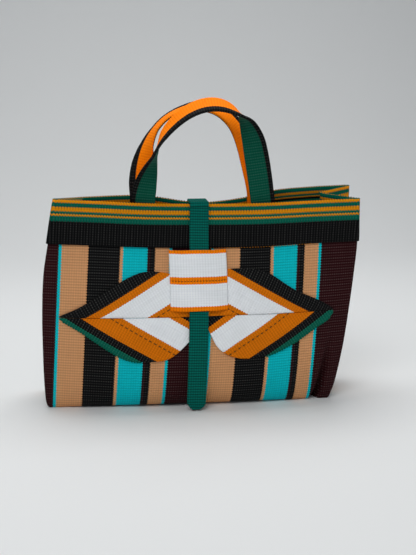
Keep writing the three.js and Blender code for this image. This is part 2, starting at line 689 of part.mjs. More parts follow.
piece('body', bodyGeometry(), COLOURS.cloth, 0.75);
piece('rim_band', bandGeometry(), COLOURS.band, 0.7);
piece('handle_front', handleGeometry(-1, FRONT_ARCH), COLOURS.handle, 0.7);
piece('handle_back', handleGeometry(1, BACK_ARCH), COLOURS.handle, 0.7);
piece('closure_strap', closureGeometry(), COLOURS.strap, 0.7);
piece('bow_knot', knotGeometry(), COLOURS.knot, 0.8);
piece('bow_left_upper', armGeometry(-1, 1, LEFT_ARMS), COLOURS.ribbon, 0.8);
piece('bow_left_lower', armGeometry(-1, -1, LEFT_ARMS), COLOURS.ribbon, 0.8);
piece('bow_right_upper', armGeometry(1, 1, RIGHT_ARMS), COLOURS.ribbon, 0.8);
piece('bow_right_lower', armGeometry(1, -1, RIGHT_ARMS), COLOURS.ribbon, 0.8);

// The origin goes under the middle of the whole bag
const box = new THREE.Box3().setFromObject(bag);
const middle = box.getCenter(new THREE.Vector3());
bag.position.set(-middle.x, -middle.y, -box.min.z);

export default bag;
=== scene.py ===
# %% [markdown]
# # A handwoven tote bag
# The bag stands on a pale table. It is sewn from stiff striped cloth: a body, a band round the mouth, two
# webbing handles, a strap that closes the mouth and a bow of folded ribbon.
# The CAD solids give each piece its place. This lesson replaces them with finer cloth of the same shape, so
# the same named sizes appear here again. Lengths are in millimetres, because a bag is cut and sewn in them,
# and they become metres when a mesh is made.

# %% Load the frame
import json
import math

import bmesh
import bpy
import numpy as np
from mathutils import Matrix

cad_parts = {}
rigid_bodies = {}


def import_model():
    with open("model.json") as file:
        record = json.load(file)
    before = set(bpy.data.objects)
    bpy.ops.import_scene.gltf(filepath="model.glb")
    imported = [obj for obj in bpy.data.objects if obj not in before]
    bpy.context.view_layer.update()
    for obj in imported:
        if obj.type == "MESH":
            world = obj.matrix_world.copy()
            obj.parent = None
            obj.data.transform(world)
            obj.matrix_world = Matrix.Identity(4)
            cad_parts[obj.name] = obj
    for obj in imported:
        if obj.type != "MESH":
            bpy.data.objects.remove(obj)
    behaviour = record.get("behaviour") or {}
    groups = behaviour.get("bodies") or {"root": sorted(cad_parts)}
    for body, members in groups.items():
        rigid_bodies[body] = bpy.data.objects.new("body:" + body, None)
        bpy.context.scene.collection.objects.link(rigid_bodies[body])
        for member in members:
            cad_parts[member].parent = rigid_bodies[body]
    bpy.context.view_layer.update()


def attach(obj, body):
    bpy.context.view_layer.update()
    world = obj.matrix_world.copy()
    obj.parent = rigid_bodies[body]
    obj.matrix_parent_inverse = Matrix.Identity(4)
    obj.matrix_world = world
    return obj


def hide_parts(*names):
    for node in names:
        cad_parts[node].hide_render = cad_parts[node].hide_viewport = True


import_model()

# %% [markdown]
# ## The camera comes first
# Everything is judged through one view, so the camera is set before any cloth is made. The photographer stood
# a little to the left, slightly above the bag and close to it. A lens of about 61 mm at 0.95 m gives the same
# gentle perspective.

# %% Camera
def look(target, azimuth, elevation, distance):
    """Where a camera stands, and the direction from it to the target"""
    az, el = math.radians(azimuth), math.radians(elevation)
    out = np.array([math.sin(az) * math.cos(el), -math.cos(az) * math.cos(el), math.sin(el)])
    return np.array(target) + distance * out, math.radians(90 - elevation), az


place, pitch, heading = look((0.0038, -0.03965, 0.139), -7.0, 13.0, 0.95)
camera = bpy.data.objects.new("camera", bpy.data.cameras.new("camera"))
camera.data.sensor_fit = "VERTICAL"
camera.data.sensor_height = 36.0
camera.data.lens = 60.7
camera.location = place
camera.rotation_euler = (pitch, 0.0, heading)
bpy.context.scene.collection.objects.link(camera)
bpy.context.scene.camera = camera
print("camera stands at", [round(float(v), 3) for v in place])

# %% [markdown]
# ## Shapes from tables
# A soft bag has no straight lines, yet it isn't random either. Each level of the body has a width, a depth, a
# belly and folds at its sides. A short table lists them at a few heights, and a smooth curve through the rows
# gives every height between them. Sculpting would give a similar shape, but a table can be read and changed.

# %% Tables that are read with a smooth curve
MM = 0.001
MOVE = np.array([-0.9023, 5.3463, 0.0])  # from the pattern's own origin to the middle of the bag


class Table:
    """Rows of named numbers that are read at any place along their first column"""

    def __init__(self, names, rows):
        self.names = names.split()
        self.data = np.array(rows, float)
        at = self.data[:, 0]
        before = np.maximum(np.arange(len(at)) - 1, 0)
        after = np.minimum(np.arange(len(at)) + 1, len(at) - 1)
        self.slope = (self.data[after] - self.data[before]) / (at[after] - at[before])[:, None]

    def __call__(self, name, where):
        at = self.data[:, 0]
        column = self.names.index(name)
        row = np.clip(np.searchsorted(at, where) - 1, 0, len(at) - 2)
        span = at[row + 1] - at[row]
        t = np.clip((where - at[row]) / span, 0, 1)
        start, end = self.data[row, column], self.data[row + 1, column]
        bend = self.slope[row, column] * (t**3 - 2 * t * t + t)
        bend = bend + self.slope[row + 1, column] * (t**3 - t * t)
        return start + (end - start) * t * t * (3 - 2 * t) + bend * span


SECTIONS = Table(
    "at left right front back crease fl fr bl br fold_l fold_r",
    [
        [0.00, 0.976, 0.827, 0.00, 0.00, 1.00, -0.45, -0.57, 0.45, 0.50, 0.00, 0.00],
        [0.01, 0.986, 0.836, 0.30, 0.30, 1.00, -0.47, -0.58, 0.47, 0.51, 0.00, 0.00],
        [0.03, 0.993, 0.845, 0.56, 0.56, 1.00, -0.48, -0.59, 0.48, 0.52, 0.00, 0.00],
        [0.07, 0.997, 0.863, 0.80, 0.80, 0.95, -0.49, -0.60, 0.49, 0.52, 0.00, 0.00],
        [0.14, 1.000, 0.884, 0.95, 0.95, 0.75, -0.50, -0.60, 0.50, 0.52, 0.00, 0.00],
        [0.28, 1.000, 0.920, 1.00, 1.00, 0.25, -0.52, -0.58, 0.52, 0.52, 0.04, 0.03],
        [0.46, 0.996, 0.953, 0.86, 0.90, 0.00, -0.50, -0.55, 0.48, 0.50, 0.18, 0.20],
        [0.65, 0.980, 0.984, 0.53, 0.60, 0.00, -0.45, -0.50, 0.38, 0.45, 0.42, 0.48],
        [0.79, 0.948, 1.000, 0.12, 0.25, 0.00, -0.42, -0.48, 0.25, 0.40, 0.60, 0.72],
        [0.91, 0.921, 1.000, 0.00, 0.05, 0.00, -0.37, -0.46, 0.14, 0.36, 0.72, 0.90],
        [1.00, 0.898, 0.999, 0.00, 0.00, 0.00, -0.33, -0.45, 0.07, 0.33, 0.80, 1.00],
    ],
)
RIM = Table(
    "at front_rise front_in back_rise back_in",
    [
        [0.000, 0.30, 0.00, -0.06, 0.00],
        [0.120, 0.03, 0.15, 0.12, -0.10],
        [0.290, -0.38, 0.30, 0.12, -0.20],
        [0.475, -0.69, 0.97, -0.81, -0.90],
        [0.630, -0.65, 0.60, -0.50, -0.30],
        [0.730, -0.55, 0.40, 0.31, 0.00],
        [0.850, -0.33, 0.20, 0.69, 0.05],
        [1.000, -0.13, 0.00, 0.88, 0.00],
    ],
)
print("body sections:", len(SECTIONS.data), "rim places:", len(RIM.data))

# %% [markdown]
# ## The cloth of the body
# The front and back panels hang out in a belly and roll under at the base. The cloth is stiff, so it keeps a
# few long, shallow dents and no small creases. Everything that lies on the front, such as the bow, asks the
# same function where the cloth is, and so it follows every dent.

# %% Where the front and back panels are
BODY_WIDTH, BODY_HEIGHT, BASE_DEPTH = 329, 215, 60
FRONT_BELLY, BACK_BELLY, SIDE_FOLD, MOUTH_PINCH, RIM_DIP = 18, 14, 38, 10, 8
CREASE_DEPTH, CREASE_WIDTH, CREASE_INSET = 12, 7, 15
CLOTH, EDGE_RADIUS, GAP = 1.6, 2.4, 0.3
BAND_HEIGHT, BAND_THICKNESS, BAND_LAP = 44, 1.6, 10
DENT = 0.9  # depth of the soft dents
FLAT_FOLD, LOOSE = 0.4, 0.8  # a turn under this many radians counts as flat, and its points spread this far


def smoothstep(x, low, high):
    t = np.clip((x - low) / (high - low), 0, 1)
    return t * t * (3 - 2 * t)


def corners(share):
    """Side edges of a level section: x of both sides and y of the four edges"""
    left = -SECTIONS("left", share) * BODY_WIDTH / 2
    right = SECTIONS("right", share) * BODY_WIDTH / 2
    return [left, right] + [SECTIONS(name, share) * BASE_DEPTH for name in ("fl", "fr", "bl", "br")]


def dents(s, share, seed):
    """Long shallow dents that fade out at the panel's edges"""
    wave = np.sin(9 * s + 2.4 * share + seed) * np.sin(6.5 * share - 2.1 * s + 1.7 * seed)
    wave = wave + 0.5 * np.sin(17 * s - 5 * share + 2.3 * seed) * np.sin(11 * share + 4 * s)
    edge = smoothstep(s, 0, 0.16) * (1 - smoothstep(s, 0.84, 1))
    return DENT * wave * edge * smoothstep(share, 0.02, 0.25) * (1 - 0.6 * smoothstep(share, 0.75, 1))


def front_shift(s, share):
    width = (SECTIONS("left", share) + SECTIONS("right", share)) * BODY_WIDTH / 2
    near = (width * (1 - s) - CREASE_INSET) / (CREASE_WIDTH / 2)
    crease = CREASE_DEPTH * SECTIONS("crease", share) * np.exp(-near * near)
    belly = FRONT_BELLY * SECTIONS("front", share) * (1 - np.abs(2 * s - 1) ** 2.6)
    pinch = MOUTH_PINCH * RIM("front_in", s) * smoothstep(share, 0.62, 1)
    return crease - belly + pinch + dents(s, share, 0.4)


def back_shift(s, share):
    belly = BACK_BELLY * SECTIONS("back", share) * (1 - np.abs(2 * s - 1) ** 2.6)
    pinch = MOUTH_PINCH * RIM("back_in", s) * smoothstep(share, 0.62, 1)
    return belly + pinch + dents(s, share, 2.9)


def front_rim(s):
    return BODY_HEIGHT + RIM_DIP * RIM("front_rise", s)


def back_rim(s):
    return BODY_HEIGHT + RIM_DIP * RIM("back_rise", s)


def panel(side, x, z):
    """Outer face of the front (side -1) or the back (side 1)"""
    rim = front_rim if side < 0 else back_rim
    left, right = corners(z / BODY_HEIGHT)[:2]
    share = z / rim((x - left) / (right - left))
    left, right, fl, fr, bl, br = corners(share)
    s = np.clip((x - left - EDGE_RADIUS) / (right - left - 2 * EDGE_RADIUS), 0, 1)
    if side < 0:
        return fl + (fr - fl) * s + front_shift(s, share)
    return bl + (br - bl) * s + back_shift(s, share)


def stand(side, x, z, distance):
    """Where a sheet lies that stands a distance off the panel, measured square to the cloth"""
    x, z = np.asarray(x, float), np.asarray(z, float)
    y = panel(side, x, z)
    slope = np.hypot(panel(side, x, z + 1) - y, panel(side, x + 1, z) - y)
    return y + side * distance * np.hypot(1, slope)


print("front of the belly at y =", round(float(panel(-1, 0.0, 70.0)), 1), "mm")

# %% [markdown]
# ## One skin for body and band
# Seen from above, the bag is a ring: the front, a side that folds inwards like bellows, the back and the
# other side. The six turns of the ring are small arcs, joined by straight stretches, and the panels then push
# the points of the front and back out into their bellies. The body and the band share this ring, so that the
# band lies on the body everywhere.

# %% Rings round the bag
def turns(share):
    """The six arcs of a level ring as (x, y, radius). The arcs of the side folds turn the other way."""
    left, right, fl, fr, bl, br = corners(share)
    r = EDGE_RADIUS
    fold_l = SECTIONS("fold_l", share) * SIDE_FOLD
    fold_r = SECTIONS("fold_r", share) * SIDE_FOLD
    return [
        (left + r, fl + r, r),
        (right - r, fr + r, r),
        (right + r - fold_r, (fr + br) / 2, -r),
        (right - r, br - r, r),
        (left + r, bl - r, r),
        (left - r + fold_l, (fl + bl) / 2, -r),
    ]


def direction(a, b):
    dx, dy = b[0] - a[0], b[1] - a[1]
    return np.arctan2(dy, dx) - np.arcsin((b[2] - a[2]) / np.hypot(dx, dy))


def on_turn(a, way):
    return a[0] + a[2] * np.sin(way), a[1] - a[2] * np.cos(way)


def even(count):
    return np.arange(1, count) / count


FRONT_PLACES = np.concatenate([np.linspace(0.008, 0.855, 104), np.linspace(0.862, 0.994, 34)])
STRETCHES = [
    (FRONT_PLACES, front_rim, front_shift),
    (even(14), lambda s: front_rim(1) + (back_rim(1) - front_rim(1)) * s / 2, None),
    (even(14), lambda s: front_rim(1) + (back_rim(1) - front_rim(1)) * (1 + s) / 2, None),
    (even(84), lambda s: back_rim(1 - s), lambda s, share: back_shift(1 - s, share)),
    (even(14), lambda s: back_rim(0) + (front_rim(0) - back_rim(0)) * s / 2, None),
    (even(14), lambda s: back_rim(0) + (front_rim(0) - back_rim(0)) * (1 + s) / 2, None),
]
ARC_PLACES = np.linspace(0, 1, 6)
ROUND = []  # every upright line of the skin, from the seam at the back left edge
for turn in (4, 5, 0, 1, 2, 3):
    ROUND += [(turn, float(a), None) for a in ARC_PLACES]
    ROUND += [(turn, None, float(s)) for s in STRETCHES[turn][0]]
FRONT_FIRST = ROUND.index((0, None, float(FRONT_PLACES[0])))
FRONT_LAST = ROUND.index((0, None, float(FRONT_PLACES[-1])))
BACK_FIRST = ROUND.index((3, 1.0, None))


def skin(heights):
    """Grid of points, row by row upwards. heights(rim) lists the heights of the rows for one rim height."""
    lines = []
    for turn, arc, s in ROUND:
        rim = STRETCHES[turn][1](s or 0.0)
        z = heights(rim)
        share = z / rim
        rings = turns(share)
        here, following = rings[turn], rings[(turn + 1) % 6]
        leave = direction(here, following)
        if s is None:
            arrive = direction(rings[turn - 1], here)
            usual = math.copysign(math.pi / 2, EDGE_RADIUS if turn not in (2, 5) else -EDGE_RADIUS)
            bend = leave - arrive - 2 * math.pi * np.round((leave - arrive - usual) / (2 * math.pi))
            way = arrive + bend * arc
            # where a side fold is still flat its arc has no length, so its points are spread along the cloth
            spread = LOOSE * (arc - 0.5) * np.maximum(0, 1 - np.abs(bend) / FLAT_FOLD)
            x, y = on_turn(here, way)
            x, y = x + spread * np.cos(way), y + spread * np.sin(way)
        else:
            x0, y0 = on_turn(here, leave)
            x1, y1 = on_turn(following, leave)
            x, y = x0 + (x1 - x0) * s, y0 + (y1 - y0) * s
            if STRETCHES[turn][2]:
                y = y + STRETCHES[turn][2](s, share)
        lines.append(np.stack([x, y, z], 1))
    return np.stack(lines, 1)


print("upright lines in the skin:", len(ROUND))

# %% [markdown]
# ## Cloth coordinates
# A stripe must follow the cloth and not the room, so each point also carries two lengths: how far it lies
# across the stripes and how far along them. They go into a UV map called "cloth", in millimetres. The weave,
# the ribs and the stripes all read it. The back is a panel of its own, so its stripes start afresh and stand
# upright.

# %% From a grid of points to a mesh
STRIPE_LEAN = 10.7 / 150  # the stripes of the front run down to the left, in mm for each mm of height
STRIPE_LEVEL = 165


def lengths(grid):
    """Distance of each point from the first one of its row"""
    steps = np.linalg.norm(np.diff(grid, axis=1), axis=2)
    return np.concatenate([np.zeros((len(grid), 1)), np.cumsum(steps, 1)], 1)


def round_cloth(grid):
    """Cloth coordinates of the skin, with one more column where the ring closes"""
    closed = np.concatenate([grid, grid[:, :1]], 1)
    along = lengths(closed)
    front = grid[:, :, 0] + STRIPE_LEAN * (STRIPE_LEVEL - grid[:, :, 2])
    across = np.empty_like(along)
    across[:, FRONT_FIRST : FRONT_LAST + 1] = front[:, FRONT_FIRST : FRONT_LAST + 1]
    for edge, part in ((FRONT_FIRST, slice(0, FRONT_FIRST)), (FRONT_LAST, slice(FRONT_LAST + 1, None))):
        across[:, part] = front[:, edge : edge + 1] + along[:, part] - along[:, edge : edge + 1]
    across[:, BACK_FIRST:] = -closed[:, BACK_FIRST:, 0]
    rise = np.linalg.norm(np.diff(closed, axis=0), axis=2)
    height = -np.concatenate([np.cumsum(rise[::-1], 0)[::-1], np.zeros((1, closed.shape[1]))], 0)
    return across, height


def cloth_mesh(name, grid, across, along, closed=False, floor=False):
    """Mesh of a grid whose faces point to the right of the walk along its rows"""
    rows, columns = grid.shape[:2]
    wide = columns if closed else columns - 1
    row, column = np.meshgrid(np.arange(rows - 1), np.arange(wide), indexing="ij")
    right = (column + 1) % columns
    loops = [(row, column), (row, right), (row + 1, right), (row + 1, column)]
    faces = np.stack([r * columns + c for r, c in loops], -1).reshape(-1, 4).tolist()
    cloth = np.stack([across, along], -1)
    spots = [cloth[row, column], cloth[row, column + 1], cloth[row + 1, column + 1], cloth[row + 1, column]]
    uv = np.stack(spots, -2).reshape(-1, 2)
    if floor:
        faces.append(list(range(columns))[::-1])
        uv = np.concatenate([uv, np.stack([across[0, :columns], grid[0, :, 1]], -1)[::-1]])
    mesh = bpy.data.meshes.new(name)
    mesh.from_pydata(((grid.reshape(-1, 3) + MOVE) * MM).tolist(), [], faces)
    mesh.uv_layers.new(name="cloth").data.foreach_set("uv", uv.astype(np.float32).ravel())
    mesh.shade_smooth()
    return mesh


def piece(name, mesh, finishes, replaced=()):
    """A finished piece that rides on the bag and stands for its CAD nodes"""
    thing = bpy.data.objects.new(name, mesh)
    bpy.context.scene.collection.objects.link(thing)
    mesh.materials.clear()
    for finish in finishes:
        mesh.materials.append(finish)
    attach(thing, "root")
    if replaced:
        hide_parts(*replaced)
    return thing


def thicken(thing, thickness, inner=0):
    """Gives a sheet its thickness on the inner side, with the finish of another slot there if asked"""
    wall = thing.modifiers.new("thickness", "SOLIDIFY")
    wall.thickness = thickness * MM
    wall.offset = -1
    wall.use_even_offset = True
    wall.material_offset = inner
    wall.thickness_clamp = 1.0


# %% [markdown]
# ## Finishes as arithmetic
# Woven cloth is a pattern that repeats, so its finish is arithmetic on the cloth coordinates: a sine gives
# the ribs, a fraction gives the repeat of the stripes, and a ramp gives their dyes. A small class lets
# Python's own signs add the nodes, which keeps the sums readable. A picture of cloth would be quicker but
# would blur close up and repeat visibly.

# %% Signals and finishes
class Signal:
    """A value that changes over a surface. Arithmetic on it adds Math nodes."""

    def __init__(self, finish, node, output=0):
        self.finish, self.node, self.socket = finish, node, node.outputs[output]

    def out(self, name):
        return Signal(self.finish, self.node, name)

    def math(self, operation, *others):
        inputs = {k: value for k, value in enumerate((self,) + others)}
        return self.finish.node("ShaderNodeMath", {"operation": operation}, inputs)

    def __add__(self, other):
        return self.math("ADD", other)

    __radd__ = __add__

    def __mul__(self, other):
        return self.math("MULTIPLY", other)

    __rmul__ = __mul__

    def __sub__(self, other):
        return self.math("SUBTRACT", other)

    def __rsub__(self, other):
        return (self * -1.0) + other

    def __pow__(self, other):
        return self.math("POWER", other)


class Finish:
    """A material, built node by node"""

    def __init__(self, name, roughness):
        self.material = bpy.data.materials.new(name)
        self.material.use_nodes = True
        self.tree = self.material.node_tree
        self.tree.nodes.clear()
        output = self.tree.nodes.new("ShaderNodeOutputMaterial")
        # dull yarn and paper hardly mirror anything
        constants = {"Roughness": roughness, "Specular IOR Level": 0.06}
        self.surface = self.node("ShaderNodeBsdfPrincipled", {}, constants).node
        self.tree.links.new(self.surface.outputs[0], output.inputs["Surface"])

    def node(self, kind, settings=None, sockets=None):
        node = self.tree.nodes.new(kind)
        for name, value in (settings or {}).items():
            if name == "stops":
                elements = node.color_ramp.elements
                elements.remove(elements[1])
                elements[0].position, elements[0].color = value[0]
                for place, colour in value[1:]:
                    elements.new(place).color = colour
            elif name == "blending":
                node.color_ramp.interpolation = value
            else:
                setattr(node, name, value)
        for name, value in (sockets or {}).items():
            self.plug(node.inputs[name], value)
        return Signal(self, node)

    def plug(self, socket, value):
        if isinstance(value, Signal):
            self.tree.links.new(value.socket, socket)
        else:
            socket.default_value = value

    def tinted(self, colour, amount):
        """A colour made darker or lighter by a signal"""
        return self.node("ShaderNodeVectorMath", {"operation": "SCALE"}, {"Vector": colour, "Scale": amount})

    def mixed(self, factor, first, second):
        """Two colours mixed by a signal"""
        sockets = {0: factor, 6: first, 7: second}
        mix = self.node("ShaderNodeMix", {"data_type": "RGBA"}, sockets)
        return Signal(self, mix.node, 2)


def dye(code):
    """A dye from its six-figure code, as the light that it reflects"""
    parts = [int(code[k : k + 2], 16) / 255 for k in (0, 2, 4)]
    return tuple(p / 12.92 if p <= 0.04045 else ((p + 0.055) / 1.055) ** 2.4 for p in parts) + (1.0,)


DYES = {
    "maroon": dye("30060c"),
    "dark": dye("2b1013"),
    "turquoise": dye("06c0ca"),
    "beige": dye("d69c6c"),
    "black": dye("07080a"),
    "orange": dye("ff8200"),
    "amber": dye("e08c0a"),
    "rust": dye("dc7404"),
    "green": dye("00634f"),
    "strap green": dye("006a5e"),
    # a darker copy of green: painted shade for the handles' green faces, which face down and inwards
    "deep green": dye("00503e"),
    "dark green": dye("123021"),
    "white": dye("eaedf0"),
}
print("dyes:", ", ".join(DYES))

# %% [markdown]
# ## Ribbed cloth
# All the cloth here is woven with thick hidden weft and dense warp, which gives round ribs across the
# stripes. The ribs of the real bag are about 2.8 mm apart. The stripe edges step by one yarn at each rib, so
# they look slightly scalloped, and rows of small pale dots of weft show on the dark stripes.

# %% The woven finish
RIB = 2.82  # mm from rib to rib
YARN = 2.4  # mm from one warp yarn to the next
FULLNESS = 0.7  # power that makes the ribs round and their valleys narrow


def woven(name, stripes, start=0.0, repeat=True, rib=RIB, depth=0.5, fleck_and_highlight=0.0, scallop=0.4, roughness=0.7,
          shade=0.42, tone=0.08):
    """Ribbed cloth with stripes given as (width in mm, dye) from start on"""
    finish = Finish(name, roughness)
    cloth = finish.node("ShaderNodeUVMap", {"uv_map": "cloth"})
    axes = finish.node("ShaderNodeSeparateXYZ", {}, {"Vector": cloth})
    across, along = axes.out("X"), axes.out("Y")
    total = sum(width for width, _ in stripes)
    edge = (across + (along * (2 * math.pi / rib)).math("COSINE") * scallop - start) * (1 / total)
    edge = edge.math("FRACT") if repeat else edge.math("MAXIMUM", 0.0).math("MINIMUM", 0.999)
    stops, reach = [], 0.0
    for width, colour in stripes:
        stops.append((reach / total, DYES[colour]))
        reach += width
    colour = finish.node("ShaderNodeValToRGB", {"stops": stops, "blending": "CONSTANT"}, {"Fac": edge})
    # the ribs stand up between narrow valleys, and each yarn is a small ridge along them
    wave = (along * (math.pi / rib)).math("SINE")
    ridge = wave.math("ABSOLUTE") ** FULLNESS
    yarn = (across * (2 * math.pi / YARN)).math("COSINE") * 0.5 + 0.5
    valley = 1.0 - wave.math("ABSOLUTE")
    streaks = finish.node("ShaderNodeCombineXYZ", {}, {"X": across * 0.5, "Y": along * 0.03})
    streak = finish.node("ShaderNodeTexNoise", {}, {"Vector": streaks, "Scale": 1.0, "Detail": 2.0})
    patches = finish.node("ShaderNodeCombineXYZ", {}, {"X": across * 0.03, "Y": along * 0.03})
    patch = finish.node("ShaderNodeTexNoise", {}, {"Vector": patches, "Scale": 1.0, "Detail": 3.0})
    # painted shade darkens the rib valleys and the gaps between yarns by deep; pale yarns scatter light into
    # the valleys, so the painted shade is weaker on pale dyes
    bright = finish.node("ShaderNodeRGBToBW", {}, {"Color": colour})
    deep = (1.1 - bright) * shade
    light = 1.0 + (streak + patch - 1.0) * (2 * tone)
    # light: random tone of the dye times painted shade in the rib valleys and between the yarns
    light = light * (1.15 - valley * deep) * (1.0 - (1.0 - yarn) * deep * 0.4)
    colour = finish.tinted(colour, light)
    if fleck_and_highlight:
        # pale weft shows as a row of dots on each rib, stronger on every other one, and a painted highlight
        # lightens every rib top of the dark stripes
        dots = (wave * 0.3 + 0.7) * ridge ** 8 * yarn ** 2 * (streak + patch)
        # the ridge ** 4 term is a painted highlight on the rib tops, only on dark dyes
        dots_and_highlight = (dots + ridge ** 4 * 0.15) * (1.0 - bright) ** 7 * fleck_and_highlight
        colour = finish.mixed(dots_and_highlight, colour, dye("a9a8a2"))
    finish.plug(finish.surface.inputs["Base Color"], colour)
    height = ridge * (yarn * 0.25 + 0.75)
    bump = finish.node("ShaderNodeBump", {}, {"Height": height, "Distance": depth * MM, "Strength": 0.8})
    finish.plug(finish.surface.inputs["Normal"], bump)
    return finish.material


BODY_STRIPES = [
    (3.0, "turquoise"), (26.6, "beige"), (31.9, "black"), (3.0, "beige"), (24.9, "turquoise"),
    (3.3, "dark"), (4.4, "black"), (14.9, "beige"), (2.8, "turquoise"), (40.5, "maroon"),
]
BAND_STRIPES = [
    (22.5, "black"), (5.6, "green"), (1.7, "amber"), (2.9, "green"), (4.2, "amber"), (4.4, "green"),
    (4.0, "amber"),
]
LINING_STRIPES = [
    (14.0, "black"), (6.0, "orange"), (5.0, "black"), (6.0, "green"), (2.5, "black"), (1.0, "amber"),
    (2.5, "green"), (2.5, "amber"), (4.5, "green"),
]
body_cloth = woven("body_cloth", BODY_STRIPES, start=-144.9, fleck_and_highlight=0.15)
inside_cloth = woven("inside_cloth", BODY_STRIPES, start=-144.9, fleck_and_highlight=0.3, roughness=0.8)
print("body stripes repeat every", round(sum(width for width, _ in BODY_STRIPES), 1), "mm")

# %% [markdown]
# ## Body
# The body ends 34 mm under the rim, inside the band. Its rows are close together near the floor, where the
# panels roll under quickly.

# %% Body
clear = BAND_HEIGHT - BAND_LAP
rows = np.concatenate([0.1 * np.linspace(0, 1, 16) ** 2, np.linspace(0.1, 1, 72)[1:]])
grid = skin(lambda rim: rows * (rim - clear))
across, along = round_cloth(grid)
body = piece("bag_body", cloth_mesh("bag_body", grid, across, along, closed=True, floor=True),
             [body_cloth, inside_cloth], ["body"])
thicken(body, CLOTH, inner=1)
print("body:", len(body.data.polygons), "faces before it has a thickness")

# %% [markdown]
# ## Rim band
# The band is a separate strip, sewn on over the top of the body with its stripes running round the bag. Its
# ribs are upright, so across and along change places in its cloth coordinates.

# %% Rim band
band_cloth = woven("band_cloth", BAND_STRIPES, start=-BAND_HEIGHT, repeat=False, fleck_and_highlight=0.1, scallop=0.55)
band_inside = woven("band_inside", LINING_STRIPES, start=-BAND_HEIGHT, repeat=False, roughness=0.8)
rows = np.linspace(0, 1, 16)
grid = skin(lambda rim: rim - BAND_HEIGHT * (1 - rows))
round_way, up_way = round_cloth(grid)


def pushed(grid, distance):
    """The grid moved outwards, square to the cloth"""
    sideways = np.roll(grid, -1, 1) - np.roll(grid, 1, 1)
    upwards = np.gradient(grid, axis=0)
    out = np.cross(sideways, upwards)
    return grid + distance * out / np.linalg.norm(out, axis=2, keepdims=True)


outer = pushed(grid, GAP + BAND_THICKNESS)
band = piece("bag_rim_band", cloth_mesh("bag_rim_band", outer, up_way, round_way, closed=True),
             [band_cloth, band_inside], ["rim_band"])
thicken(band, BAND_THICKNESS, inner=1)
print("band:", len(band.data.polygons), "faces before it has a thickness")

# %% [markdown]
# ## Ribs and stitches that grow
# Ribs and stitches repeat hundreds of times along a path, which is work for Geometry Nodes. One tree lifts
# the surface of a strap into ribs, from its cloth coordinates. The other lays a row of small beads along a
# line: short ones are the knobbly edge of woven cloth, long ones are sewing stitches.

# %% Trees for ribs and for rows of beads
def growing(name, inputs):
    """An empty geometry tree with named inputs, and a way to add its nodes"""
    tree = bpy.data.node_groups.new(name, "GeometryNodeTree")
    tree.interface.new_socket("Geometry", in_out="INPUT", socket_type="NodeSocketGeometry")
    for title, kind in inputs:
        tree.interface.new_socket(title, in_out="INPUT", socket_type=kind)
    tree.interface.new_socket("Geometry", in_out="OUTPUT", socket_type="NodeSocketGeometry")

    def add(kind, settings=None, sockets=None):
        node = tree.nodes.new(kind)
        for title, value in (settings or {}).items():
            setattr(node, title, value)
        for title, value in (sockets or {}).items():
            if isinstance(value, bpy.types.NodeSocket):
                tree.links.new(value, node.inputs[title])
            else:
                node.inputs[title].default_value = value
        return node

    return tree, add, add("NodeGroupInput").outputs


def rib_tree():
    inputs = [("Rib", "NodeSocketFloat"), ("Depth", "NodeSocketFloat"), ("Finish", "NodeSocketMaterial")]
    tree, add, given = growing("raised ribs", inputs)
    cloth = add("GeometryNodeInputNamedAttribute", {"data_type": "FLOAT_VECTOR"}, {"Name": "cloth"})
    along = add("ShaderNodeSeparateXYZ", {}, {0: cloth.outputs[0]}).outputs["Y"]

    def math_node(operation, *values):
        return add("ShaderNodeMath", {"operation": operation}, dict(enumerate(values))).outputs[0]

    angle = math_node("MULTIPLY", math_node("DIVIDE", along, given["Rib"]), math.pi)
    ridge = math_node("POWER", math_node("ABSOLUTE", math_node("SINE", angle)), FULLNESS)
    lift = math_node("MULTIPLY", ridge, given["Depth"])
    normal = add("GeometryNodeInputNormal").outputs[0]
    offset = add("ShaderNodeVectorMath", {"operation": "SCALE"}, {0: normal, "Scale": lift}).outputs[0]
    moved = add("GeometryNodeSetPosition", {}, {"Geometry": given["Geometry"], "Offset": offset}).outputs[0]
    real = add("GeometryNodeRealizeInstances", {}, {"Geometry": moved}).outputs[0]
    painted = add("GeometryNodeSetMaterial", {}, {"Geometry": real, "Material": given["Finish"]}).outputs[0]
    add("NodeGroupOutput", {}, {"Geometry": painted})
    return tree


def bead_tree():
    inputs = [("Spacing", "NodeSocketFloat"), ("Size", "NodeSocketVector"), ("Finish", "NodeSocketMaterial")]
    tree, add, given = growing("row of beads", inputs)
    line = add("GeometryNodeMeshToCurve", {}, {"Mesh": given["Geometry"]}).outputs[0]
    sockets = {"Curve": line, "Length": given["Spacing"]}
    even_line = add("GeometryNodeResampleCurve", {"mode": "LENGTH"}, sockets).outputs[0]
    bead = add("GeometryNodeMeshUVSphere", {}, {"Segments": 6, "Rings": 5, "Radius": 0.5}).outputs[0]
    way = add("GeometryNodeInputTangent").outputs[0]
    turned = add("FunctionNodeAlignRotationToVector", {"axis": "X"}, {"Vector": way}).outputs[0]
    sockets = {"Points": even_line, "Instance": bead, "Rotation": turned, "Scale": given["Size"]}
    row = add("GeometryNodeInstanceOnPoints", {}, sockets).outputs[0]
    real = add("GeometryNodeRealizeInstances", {}, {"Geometry": row}).outputs[0]
    smooth = add("GeometryNodeSetShadeSmooth", {}, {0: real}).outputs[0]
    painted = add("GeometryNodeSetMaterial", {}, {"Geometry": smooth, "Material": given["Finish"]}).outputs[0]
    add("NodeGroupOutput", {}, {"Geometry": painted})
    return tree


RIBS, BEADS = rib_tree(), bead_tree()


def grown(mesh, tree, **values):
    """The mesh that a tree grows from another mesh"""
    seed = bpy.data.objects.new("seed", mesh)
    bpy.context.scene.collection.objects.link(seed)
    growth = seed.modifiers.new("growth", "NODES")
    growth.node_group = tree
    names = {item.name: item.identifier for item in tree.interface.items_tree if item.in_out == "INPUT"}
    for name, value in values.items():
        growth[names[name]] = value
    shape = bpy.data.meshes.new_from_object(seed.evaluated_get(bpy.context.evaluated_depsgraph_get()))
    seed.modifiers.remove(growth)
    bpy.data.objects.remove(seed)
    return shape


